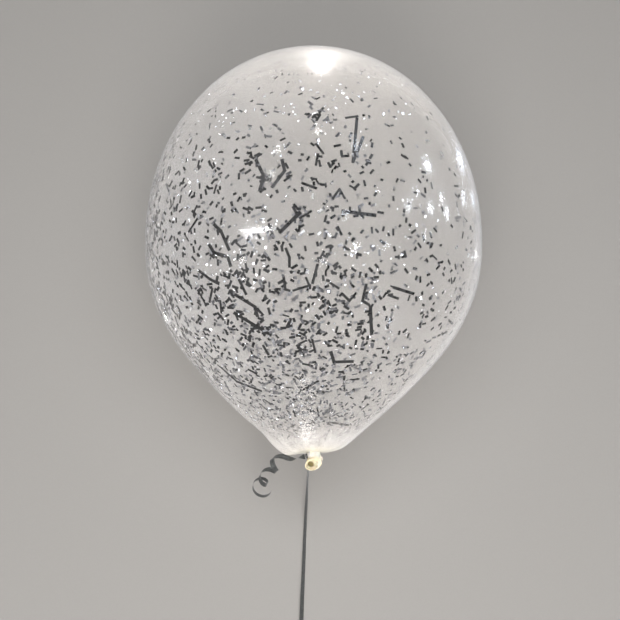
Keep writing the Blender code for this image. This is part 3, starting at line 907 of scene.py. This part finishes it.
# Crumbs of foil turned on purpose to throw a lamp's light to this scene's camera, so that they sparkle
# where the photograph does and not in other views: pixel, how many, pixels of spread.
SPARKLE_LAMPS = ((60.0, -60.0), (35.0, -120.0), (70.0, 100.0), (50.0, 40.0), (40.0, 110.0), (55.0, 170.0))
CRUMBS = (
    (254, 231, 26, 13), (231, 255, 12, 9), (210, 262, 16, 12), (226, 275, 12, 12), (252, 275, 8, 10),
    (197, 262, 5, 8), (270, 277, 6, 8), (237, 303, 10, 14), (320, 88, 24, 24), (300, 66, 14, 28),
    (280, 92, 14, 20), (345, 95, 14, 16), (319, 136, 6, 6), (280, 153, 8, 8), (300, 140, 8, 20),
    (352, 248, 16, 10), (376, 195, 3, 5), (404, 207, 2, 5), (412, 193, 2, 5), (438, 199, 2, 4),
    (443, 215, 2, 4), (420, 237, 5, 8), (424, 169, 3, 4), (427, 210, 3, 7), (457, 160, 3, 5),
    (460, 196, 3, 5), (467, 190, 2, 5), (474, 256, 5, 3), (169, 319, 4, 4), (375, 279, 5, 6),
    (340, 325, 14, 16), (319, 309, 12, 10), (313, 385, 26, 18), (308, 398, 12, 10), (290, 400, 10, 15),
    (330, 410, 10, 16), (262, 400, 9, 14), (240, 380, 8, 12), (200, 330, 9, 12), (182, 300, 7, 9),
    (200, 160, 14, 14), (190, 190, 7, 8), (222, 112, 14, 15), (408, 110, 7, 10), (260, 350, 8, 14),
    (400, 260, 7, 12), (428, 300, 7, 12), (398, 340, 10, 14), (310, 430, 18, 13), (172, 240, 7, 8),
    (180, 210, 6, 10), (355, 130, 6, 16), (270, 200, 6, 16), (370, 370, 8, 16),
)
LIMB_CRUMBS = ((156, 290), (165, 312), (178, 336), (190, 353), (206, 373), (224, 392), (242, 410), (256, 423))
LIMB_STEPS = 5
LIMB_SPREAD = 0.8
FACING_SPREAD = 0.03
CRUMB_DEPTH = (0.0010, 0.0016)      # how far inside the film they hang
CRUMB_HALF_LENGTH = (0.0004, 0.0012)
CRUMB_WIDTH = (0.0009, 0.0017)
spots = [(x, y, spread_out) for x, y, count, spread_out in CRUMBS for k in range(count)]
for (x, y), (next_x, next_y) in zip(LIMB_CRUMBS, LIMB_CRUMBS[1:]):
    for k in range(LIMB_STEPS):
        spots.append((x + (next_x - x) * k / LIMB_STEPS, y + (next_y - y) * k / LIMB_STEPS, LIMB_SPREAD))
for x, y, spread_out in spots:
    found = picture_spot(x + random.gauss(0.0, spread_out), y + random.gauss(0.0, spread_out))
    if found:
        spot, out = found
        spot = spot - out * random.uniform(*CRUMB_DEPTH)
        to_camera = (standing @ camera.location - spot).normalized()
        to_lamp = standing.to_3x3() @ toward(*random.choice(SPARKLE_LAMPS))
        off = Vector([random.gauss(0.0, FACING_SPREAD) for axis in "xyz"])
        facing = ((to_camera + to_lamp).normalized() + off).normalized()
        along = turned_by(*square_to(facing), random.uniform(0.0, math.pi))
        reach = along * random.uniform(*CRUMB_HALF_LENGTH)
        width = random.uniform(*CRUMB_WIDTH)
        piles["bright"].add(spot - reach, spot + reach, facing.cross(along), width)


def foil_group():
    """Cut foil as it is handled: fine creases, dulled patches and a slight change of tone."""
    group, given, result = new_group(
        "creased_foil",
        {"Tone": "Color", "Dullness": "Float"},
        {"Color": "Color", "Roughness": "Float", "Creases": "Float"},
    )
    where = place_on_floor_axes(group)
    patches = mottle(group, where, 170.0, 2.0)
    tone = mixed(group, patches, (0.35, 0.35, 0.35), (1.6, 1.6, 1.65))
    colour = mixed(group, 1.0, given["Tone"], tone, "MULTIPLY")
    dull = math_node(group, "MULTIPLY", spread(group, patches, 0.3, 0.7, 0.6, 1.4), given["Dullness"])
    creases = node(group, "TexVoronoi", Vector=where, Scale=900.0, feature="DISTANCE_TO_EDGE").outputs[0]
    feed(group, result, (colour, dull, creases))
    return group


creased_foil = foil_group()
FOIL_PAINTED_TONES = {                     # painted colour for the light and shade that the foil would mirror, and dullness
    "dark": ((0.075, 0.075, 0.075), 0.34),
    "silver": ((0.33, 0.33, 0.335), 0.32),
    "bright": ((0.92, 0.92, 0.92), 0.24),
}
# One silver foil in three painted tones: dark as painted shade, grey, and bright as painted reflection.
for tone_name, pile in piles.items():
    strips = add_object("foil_strips_" + tone_name, pile.verts, pile.faces, lying, smooth=False)
    tone, dullness = FOIL_PAINTED_TONES[tone_name]
    material, tree, shader = new_material("silver_foil_painted_light_" + tone_name)
    foil = node(tree, "Group", node_tree=creased_foil, Tone=tone, Dullness=dullness).outputs
    creases = node(tree, "Bump", Height=foil["Creases"], Strength=0.3, Distance=0.0001).outputs[0]
    give(tree, shader, Base_Color=foil["Color"], Roughness=foil["Roughness"], Normal=creases)
    shader.inputs["Metallic"].default_value = 1.0
    strips.data.materials.append(material)
    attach(strips, "root")

# Curling ribbon, tied on. One length of satin ribbon, 4.8 mm wide, taken once round the neck above
# the latex knot and tied on the side that lies below. Pulled tight there, it bunches to a cord.
RIBBON_WIDTH = 0.0048
RIBBON_THICKNESS = 0.00016
RIBBON_CUP = 0.00015                # how far its middle stands up
HALF_COLUMNS = 3                    # points across its half width
SHARP_EDGE = math.radians(50.0)
NECK_SEAT = 0.0030
BUNCHED_WIDTH = 0.0024
TURN_RADIUS = NECK_RADIUS + 0.0009
TURN_CLIMB = 0.00035                # how much wider the second round lies than the first
TURN_WAVE = 0.0003
TURN_START = 1.2
TURN_STEPS = 60                     # steps in a full turn, and in the turn and its overlap
WHOLE_TURN_STEPS = 72
TIE_KNOT_MIDDLE = Vector((-0.0040, 0.0085, -0.1951))
TIE_KNOT_SIZE = 0.0017 * 0.62
TIE_KNOT_WIDTH = 0.0028
KNOT_STEPS = 80


def ribbon_rings(middles, asides, width, thickness, cup):
    """Flat rings across a ribbon: asides point across its width, cup is how far its middle stands up."""
    rings = []
    for i, middle in enumerate(middles):
        ahead = way_at(middles, i)
        aside = (asides[i] - ahead * asides[i].dot(ahead)).normalized()
        face = ahead.cross(aside)
        ring = []
        for side in (1, -1):
            for k in range(-HALF_COLUMNS, HALF_COLUMNS + 1):
                across = side * k / HALF_COLUMNS
                lift = cup * (1.0 - across * across)
                edge = math.sqrt(max(0.0, 1.0 - abs(across) ** 8))
                ring.append(middle + aside * (0.5 * width * across)
                            + face * (lift + side * 0.5 * thickness * (0.35 + 0.65 * edge)))
        rings.append(ring)
    return rings


def add_ribbon(name, middles, asides, width, thickness=RIBBON_THICKNESS, cup=RIBBON_CUP,
               matrix=Matrix.Identity(4)):
    """A ribbon piece with a map that runs across its width and along its length."""
    verts, faces = [], []
    rings = ribbon_rings(middles, asides, width, thickness, cup)
    add_rings(verts, faces, rings)
    item = add_object(name, verts, faces, matrix)
    item.data.set_sharp_from_angle(angle=SHARP_EDGE)
    runs = runs_along(middles)
    count = len(rings[0])
    columns = count // 2
    layer = item.data.uv_layers.new(name="ribbon")
    for corner in item.data.loops:
        ring, k = divmod(corner.vertex_index, count)
        across = (k if k < columns else count - 1 - k) / (columns - 1)
        along = runs[min(ring, len(runs) - 1)] / RIBBON_WIDTH
        layer.data[corner.index].uv = (across, along)
    item.data.materials.append(satin_material)
    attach(item, "root")
    return item


LINE_DARK = (0.028, 0.030, 0.030)
LINE_LIGHT = (0.120, 0.125, 0.123)
PATCH_GREY = (0.16, 0.17, 0.165)
satin_material, tree, shader = new_material("satin_ribbon")
ribbon_map = node(tree, "UVMap", uv_map="ribbon").outputs[0]
lines = mottle(tree, vector_math(tree, "MULTIPLY", ribbon_map, (26.0, 0.35, 1.0)), 1.0, 3.0, 0.7)
line_colour = mixed(tree, spread(tree, lines, 0.32, 0.68, 0.0, 1.0), LINE_DARK, LINE_LIGHT)
patches = spread(tree, mottle(tree, ribbon_map, 1.4, 2.0), 0.35, 0.75, 0.0, 0.35)
give(
    tree,
    shader,
    Base_Color=mixed(tree, patches, line_colour, PATCH_GREY),
    Roughness=spread(tree, lines, 0.3, 0.7, 0.24, 0.44),
    Normal=node(tree, "Bump", Height=lines, Strength=0.5, Distance=0.00008).outputs[0],
)
shader.inputs["Metallic"].default_value = 0.25
shader.inputs["Sheen Weight"].default_value = 0.15


def overhand(around):
    """An overhand knot's line at an angle round it: aside, along and out of the plane that it lies in."""
    aside = math.sin(around) + 2.0 * math.sin(2.0 * around)
    return aside, math.cos(around) - 2.0 * math.cos(2.0 * around), -math.sin(3.0 * around)


turn_middles = []
for i in range(WHOLE_TURN_STEPS + 1):
    around = math.tau * (i / TURN_STEPS) + TURN_START
    radius = TURN_RADIUS + TURN_CLIMB * i / TURN_STEPS
    height = -NECK_SIDE_LENGTH - 0.5 * NECK_SEAT + TURN_WAVE * math.sin(3.0 * around)
    turn_middles.append(Vector((radius * math.cos(around), radius * math.sin(around), height)))
turn_asides = [Vector((0.0, 0.0, 1.0))] * len(turn_middles)
tie_turn = add_ribbon("ribbon_turn", turn_middles, turn_asides, BUNCHED_WIDTH, 0.0005, 0.0003, lying)
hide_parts("ribbon_tie")
knot_middles, knot_asides = [], []
for i in range(KNOT_STEPS + 1):
    around = math.tau * i / KNOT_STEPS
    aside, along, out = overhand(around)
    knot_middles.append(TIE_KNOT_MIDDLE + TIE_KNOT_SIZE * Vector((aside, 1.2 * out, along)))
    knot_asides.append(Vector((0.35 * math.sin(around), 1.0, 0.35 * math.cos(around))))
tie_knot = add_ribbon("ribbon_knot", knot_middles, knot_asides, TIE_KNOT_WIDTH, 0.0006, 0.0004, lying)
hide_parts("ribbon_tie")

# Long end of the ribbon. It drops from the knot to the floor and is pulled straight out of the view,
# edge on to the camera at the knot and slowly turning flat.
TAIL_ROUTE = (
    (-0.0040, -0.1756, 0.0985),
    (-0.0042, -0.1737, 0.0880),
    (-0.0045, -0.1728, 0.0720),
    (-0.0049, -0.1734, 0.0540),
    (-0.0054, -0.1762, 0.0360),
    (-0.0060, -0.1818, 0.0200),
    (-0.0067, -0.1920, 0.0085),
    (-0.0074, -0.2070, 0.0036),
    (-0.0082, -0.2250, 0.0027),
    (-0.0089, -0.2450, 0.0027),
    (-0.0097, -0.2650, 0.0027),
    (-0.0105, -0.2850, 0.0027),
    (-0.0112, -0.3070, 0.0027),
)
TAIL_SPACING = 0.0020
TWIST_AT_KNOT = math.radians(11.0)
TWIST_AT_END = math.radians(50.0)


def smooth_line(route, spacing):
    """Points about one spacing apart on a smooth curve through the route's own points."""
    route = [Vector(p) for p in route]
    ends = (2.0 * route[0] - route[1], 2.0 * route[-1] - route[-2])
    padded = [ends[0], *route, ends[1]]
    steps = 40
    fine = []
    for a, b, c, d in zip(padded, padded[1:], padded[2:], padded[3:]):
        for i in range(steps):
            t = i / steps
            bend = (2.0 * a - 5.0 * b + 4.0 * c - d) * t * t + (3.0 * b - a - 3.0 * c + d) * t ** 3
            fine.append(0.5 * (2.0 * b + (c - a) * t + bend))
    fine.append(route[-1])
    return evenly_along(fine, max(2, round(length_of(fine) / spacing)) + 1)


def length_of(points):
    """The length of the line through the points."""
    return runs_along(points)[-1]


tail_line = smooth_line(TAIL_ROUTE, TAIL_SPACING)
tail_asides = []
for i in range(len(tail_line)):
    twist = TWIST_AT_KNOT + (TWIST_AT_END - TWIST_AT_KNOT) * (i / (len(tail_line) - 1))
    upright = Vector((1.0, 0.0, 0.0)).cross(way_at(tail_line, i)).normalized()
    tail_asides.append(turned_by(upright, Vector((1.0, 0.0, 0.0)), twist))
tail = add_ribbon("ribbon_long_end", tail_line, tail_asides, RIBBON_WIDTH)
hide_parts("ribbon_tail")

# Loop at the far end of the ribbon. The ribbon is folded back and knotted, for a weight or a hand
# to hold it by; it lies on its edge on the floor, just outside the view.
END_KNOT_LENGTH = 0.0090
END_KNOT_SIZE = 0.0011
END_KNOT_WIDTH = 0.0030
END_LOOP_LENGTH = 0.0340
END_LOOP_WIDTH = 0.0200
LOOP_STEPS = 60
GAP = 0.0003
end_start = Vector(TAIL_ROUTE[-1])
end_knot_middle = end_start + Vector((0.0, -(GAP + 0.5 * END_KNOT_LENGTH), 0.0))
loop_line = []
for i in range(LOOP_STEPS + 1):
    around = math.tau * i / LOOP_STEPS
    across = 0.65 * END_LOOP_WIDTH * math.sin(around) * math.sin(0.5 * around)
    along = 0.5 * END_LOOP_LENGTH * (1.0 - math.cos(around))
    loop_line.append(end_knot_middle + Vector((across, -along, 0.0)))
loop_asides = [Vector((0.0, 0.0, 1.0))] * len(loop_line)
end_loop = add_ribbon("ribbon_loop", loop_line, loop_asides, RIBBON_WIDTH)
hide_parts("ribbon_end_loop")
end_middles, end_asides = [], []
for i in range(KNOT_STEPS + 1):
    around = math.tau * i / KNOT_STEPS
    aside, along, out = overhand(around)
    end_middles.append(end_knot_middle + END_KNOT_SIZE * Vector((aside, 1.25 * along, 0.8 * out)))
    end_asides.append(Vector((0.3 * math.sin(around), 0.3 * math.cos(around), 1.0)))
end_knot = add_ribbon("ribbon_loop_knot", end_middles, end_asides, END_KNOT_WIDTH, 0.0006, 0.0003)
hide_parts("ribbon_end_loop")

# Short end of the ribbon. It was drawn over a blade, so it springs into a curl that droops beside
# the neck: one wide turn as it leaves the knot, then a tighter one round a slanting axis.
CURL_AXIS = (
    (-0.0078, -0.1760, 0.1015),
    (-0.0140, -0.1765, 0.1018),
    (-0.0210, -0.1790, 0.1030),
    (-0.0275, -0.1805, 0.1030),
    (-0.0340, -0.1840, 0.1010),
    (-0.0400, -0.1885, 0.0960),
    (-0.0440, -0.1925, 0.0895),
    (-0.0465, -0.1955, 0.0820),
    (-0.0480, -0.1975, 0.0740),
)
CURL_HALF_TURNS = (0.0, 0.42, 0.50, 0.70, 0.83, 0.92, 1.0)      # where along the axis each half turn ends
CURL_RADII = (0.0002, 0.0066, 0.0052, 0.0050, 0.0046, 0.0074, 0.0100)
CURL_FACE = Vector((0.0, -0.3746, 0.9272))                      # the way that the curl's front strands face
CURL_STEPS = 30                      # steps in each half turn
AXIS_SPACING = 0.0001
AXIS_REACH = 30                      # points to either side, for the way that the axis runs

axis_line = smooth_line(CURL_AXIS, AXIS_SPACING)
curl_line, curl_asides = [], []
half_turns = len(CURL_RADII) - 1
for i in range(half_turns * CURL_STEPS + 1):
    half_turn = min(i, half_turns * CURL_STEPS - 1) // CURL_STEPS
    share = (i - half_turn * CURL_STEPS) / CURL_STEPS
    start, stop = CURL_HALF_TURNS[half_turn:half_turn + 2]
    at = round((start + (stop - start) * share) * (len(axis_line) - 1))
    radius = CURL_RADII[half_turn] + (CURL_RADII[half_turn + 1] - CURL_RADII[half_turn]) * share
    ahead = way_at(axis_line, at, AXIS_REACH)
    front = (CURL_FACE - ahead * CURL_FACE.dot(ahead)).normalized()
    out = turned_by(front.cross(ahead), front, -math.pi * (half_turn + share))
    curl_line.append(axis_line[at] + out * radius)
    curl_asides.append(ahead)
curl = add_ribbon("ribbon_short_end", curl_line, curl_asides, RIBBON_WIDTH)
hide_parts("ribbon_curl")

# Floor and studio lights. A plain pale floor, and soft lamps placed where their reflections in the film
# show at the photograph's places. Some stand lower than the floor, which casts no shadow and isn't mirrored.
FLOOR_SIZE = 12.0
FLOOR_DROP = 0.0004
FLOOR_DARK = (0.345, 0.335, 0.322)
FLOOR_LIGHT = (0.370, 0.360, 0.347)
half = 0.5 * FLOOR_SIZE
floor_corners = [(x * half, y * half, -FLOOR_DROP) for x, y in ((-1, -1), (1, -1), (1, 1), (-1, 1))]
floor = add_object("floor", floor_corners, [(0, 1, 2, 3)], smooth=False)
floor_material, tree, shader = new_material("pale_floor")
grain = mottle(tree, place_on_floor_axes(tree), 900.0, 2.0)
give(tree, shader, Base_Color=mixed(tree, grain, FLOOR_DARK, FLOOR_LIGHT))
shader.inputs["Roughness"].default_value = 0.85
floor.data.materials.append(floor_material)
floor.visible_glossy = False         # so that its horizon draws no line across the film
floor.visible_shadow = False

HALO = 0.16                          # strength of a lamp's halo against its core
WARM = (1.0, 0.95, 0.90)
COOL = (0.80, 0.88, 1.0)
WHITE = (1.0, 1.0, 1.0)
latex_pieces = bpy.data.collections.new("latex_pieces")
latex_pieces.objects.link(film)
latex_pieces.objects.link(knot)


def fading_light(data, glow):
    """Makes a lamp's light fall off from its core to the rim of its halo, which is glow times as large."""
    data.use_nodes = True
    tree = data.node_tree
    where = node(tree, "NewGeometry").outputs["Parametric"]
    from_middle = vector_math(tree, "DISTANCE", where, (0.5, 0.5, 0.0))
    core = spread(tree, from_middle, 0.30 / glow, 0.62 / glow, 1.0, 0.0)
    halo = math_node(tree, "POWER", spread(tree, from_middle, 0.0, 0.5, 1.0, 0.0), 2.0)
    strength = math_node(tree, "ADD", core, math_node(tree, "MULTIPLY", halo, HALO))
    give(tree, tree.nodes["Emission"], Strength=strength)


def add_lamp(name, direction, distance, size, radiance, colour, latex_only, glow=1.0, end=None):
    """A soft lamp that faces the balloon. With an end it is a strip from one direction to the other, and with
    a glow of more than 1 it is that many times larger, with its light falling off towards its rim."""
    data = bpy.data.lights.new(name, "AREA")
    middle = toward(*direction) * distance
    side = Vector((1.0, 0.0, 0.0))
    long_side = size * glow
    if end:
        side = toward(*end) * distance - middle
        middle += 0.5 * side
        long_side = side.length * glow
    data.shape = "ELLIPSE"
    data.size = long_side
    data.size_y = size * glow
    data.energy = radiance * math.pi * 0.25 * math.pi * long_side * size * glow
    data.color = colour
    if glow > 1.0:
        fading_light(data, glow)
    back = middle.normalized()
    side = (side - back * side.dot(back)).normalized()
    facing = Matrix((side, back.cross(side), back)).transposed().to_4x4()
    lamp = bpy.data.objects.new(name, data)
    lamp.matrix_world = Matrix.Translation(place + middle) @ facing
    lamp.visible_camera = False
    if latex_only:
        lamp.light_linking.receiver_collection = latex_pieces
    bpy.context.collection.objects.link(lamp)
    return lamp


FILLS = (                           # name, direction, distance, size, radiance, colour, latex only
    ("overhead", (80.0, 180.0), 2.6, 2.6, 4.1, WHITE, False),
    ("front_fill", (50.0, 180.0), 1.7, 0.6, 17.0, WARM, False),
    ("crown_fill", (20.0, 0.0), 1.4, 0.6, 9.0, WARM, True),
    ("neck_fill", (-5.0, 180.0), 1.4, 0.6, 12.0, WARM, True),
    ("left_fill", (8.0, -95.0), 1.4, 0.6, 6.5, WHITE, True),
    ("right_fill", (8.0, 95.0), 1.4, 0.6, 10.0, COOL, True),
)
for name, direction, distance, size, radiance, colour, latex_only in FILLS:
    fill = add_lamp(name, direction, distance, size, radiance, colour, latex_only)
    fill.visible_glossy = False
HIGHLIGHTS = (                      # direction, size, radiance, colour, glow, and the end of a strip
    ((-11.0, 3.0), 0.17, 34.0, WARM, 5.0, (12.0, 3.0)),
    ((43.0, -100.0), 0.06, 240.0, WHITE, 2.2, (62.0, -114.0)),
    ((48.0, -93.0), 0.03, 120.0, WHITE, 2.0, (44.0, -110.0)),
    ((47.0, -108.0), 0.10, 42.0, COOL, 5.5, None),
    ((54.0, 5.0), 0.06, 190.0, WHITE, 3.0, None),
    ((55.0, -37.0), 0.06, 190.0, WHITE, 3.0, None),
    ((28.0, -110.0), 0.05, 130.0, WHITE, 3.0, None),
    ((55.0, 125.0), 0.06, 100.0, WHITE, 4.0, (55.0, 134.0)),
    ((8.0, 62.0), 0.10, 150.0, COOL, 3.5, None),
    ((49.0, 77.0), 0.05, 160.0, COOL, 3.0, None),
    ((29.0, 81.0), 0.08, 150.0, COOL, 3.0, None),
    ((22.0, 74.0), 0.07, 150.0, COOL, 3.0, None),
    ((11.0, 78.0), 0.08, 130.0, COOL, 3.5, None),
    ((15.0, 91.0), 0.06, 110.0, COOL, 4.0, None),
    ((0.0, 72.0), 0.07, 130.0, COOL, 3.0, None),
    ((-4.0, 76.0), 0.07, 130.0, COOL, 3.0, None),
    ((-40.0, 42.0), 0.10, 9.0, COOL, 3.0, (-28.0, 54.0)),
    ((-28.0, 61.0), 0.06, 22.0, COOL, 2.5, (-22.0, 66.0)),
    ((-42.0, 53.0), 0.06, 14.0, COOL, 2.5, (-40.0, 56.0)),
    ((-45.0, 67.0), 0.05, 30.0, WHITE, 3.0, None),
    ((-58.0, -80.0), 0.04, 50.0, WHITE, 3.0, None),
    ((1.0, 137.0), 0.12, 16.0, COOL, 8.0, None),
    ((-3.0, -171.0), 0.45, 7.0, WARM, 2.0, (-17.0, -179.0)),
)
HIGHLIGHT_DISTANCE = 1.5
for i, (direction, size, radiance, colour, glow, end) in enumerate(HIGHLIGHTS):
    name = "highlight_%d" % i
    highlight = add_lamp(name, direction, HIGHLIGHT_DISTANCE, size, radiance, colour, True, glow, end)
    highlight.visible_diffuse = False
SPARKLE_SIZE = 0.12
SPARKLE_RADIANCE = 34.0
COOL_SPARKLES = (2, 3, 4)
for i, direction in enumerate(SPARKLE_LAMPS):
    colour = COOL if i in COOL_SPARKLES else WHITE
    name = "sparkle_%d" % i
    sparkle = add_lamp(name, direction, HIGHLIGHT_DISTANCE, SPARKLE_SIZE, SPARKLE_RADIANCE, colour, False)
    sparkle.visible_diffuse = False

# Surroundings. Dim for diffuse light, paler where the film and the foil mirror them, and a pale backdrop
# for the camera.
SURROUND = (0.05, 0.05, 0.052)
MIRRORED = (0.45, 0.45, 0.46)
BACKDROP = (0.62, 0.61, 0.60)
world = bpy.data.worlds.new("studio")
bpy.context.scene.world = world
world.use_nodes = True
tree = world.node_tree
ray = node(tree, "LightPath").outputs
shown = give(tree, tree.nodes["Background"], Color=SURROUND).outputs[0]
for kind, colour in (("Is Glossy Ray", MIRRORED), ("Is Camera Ray", BACKDROP)):
    choose = node(tree, "MixShader")
    feed(tree, choose.inputs, (ray[kind], shown, node(tree, "Background", Color=colour).outputs[0]))
    shown = choose.outputs[0]
tree.links.new(shown, tree.nodes["World Output"].inputs["Surface"])
